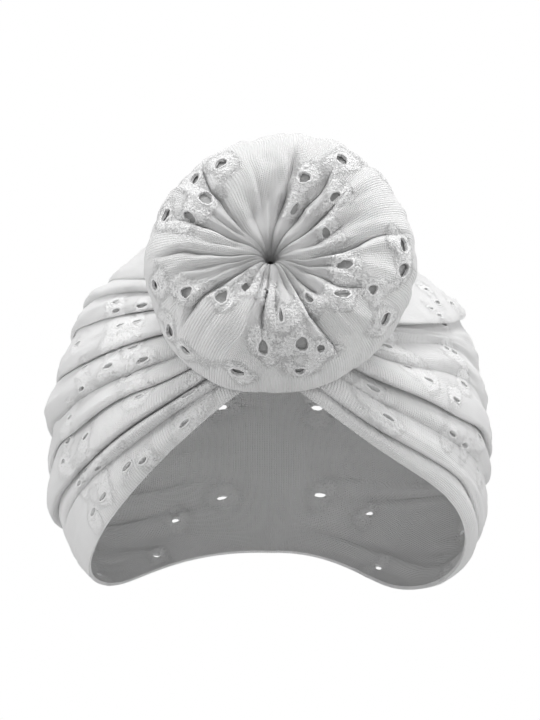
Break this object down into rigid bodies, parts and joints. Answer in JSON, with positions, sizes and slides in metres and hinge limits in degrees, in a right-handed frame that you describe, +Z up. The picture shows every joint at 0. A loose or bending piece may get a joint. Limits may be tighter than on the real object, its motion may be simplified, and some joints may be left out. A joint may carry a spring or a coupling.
{
  "type": "pull-on turban cap",
  "caption": "Soft pull-on turban cap in pierced ribbed jersey, folds fanning from a front gather under a round donut knot.",
  "frame": {"origin": "inside of the crown, where the cap sits on the top of the head", "axes": "+Z up, -Y the way the wearer looks, +X at the right of someone who looks at the knot"},
  "size_m": [0.1466, 0.1877, 0.1531],
  "materials": {
    "cap_jersey": "white fine-ribbed jersey with embroidered eyelets",
    "knot_jersey": "white fine-ribbed jersey with embroidered eyelets, gathered",
    "wadding": "soft grey wadding"
  },
  "bodies": {
    "root": {"cap": "cap_jersey", "knot_cover": "knot_jersey", "knot_filling": "wadding"}
  },
  "joints": []
}
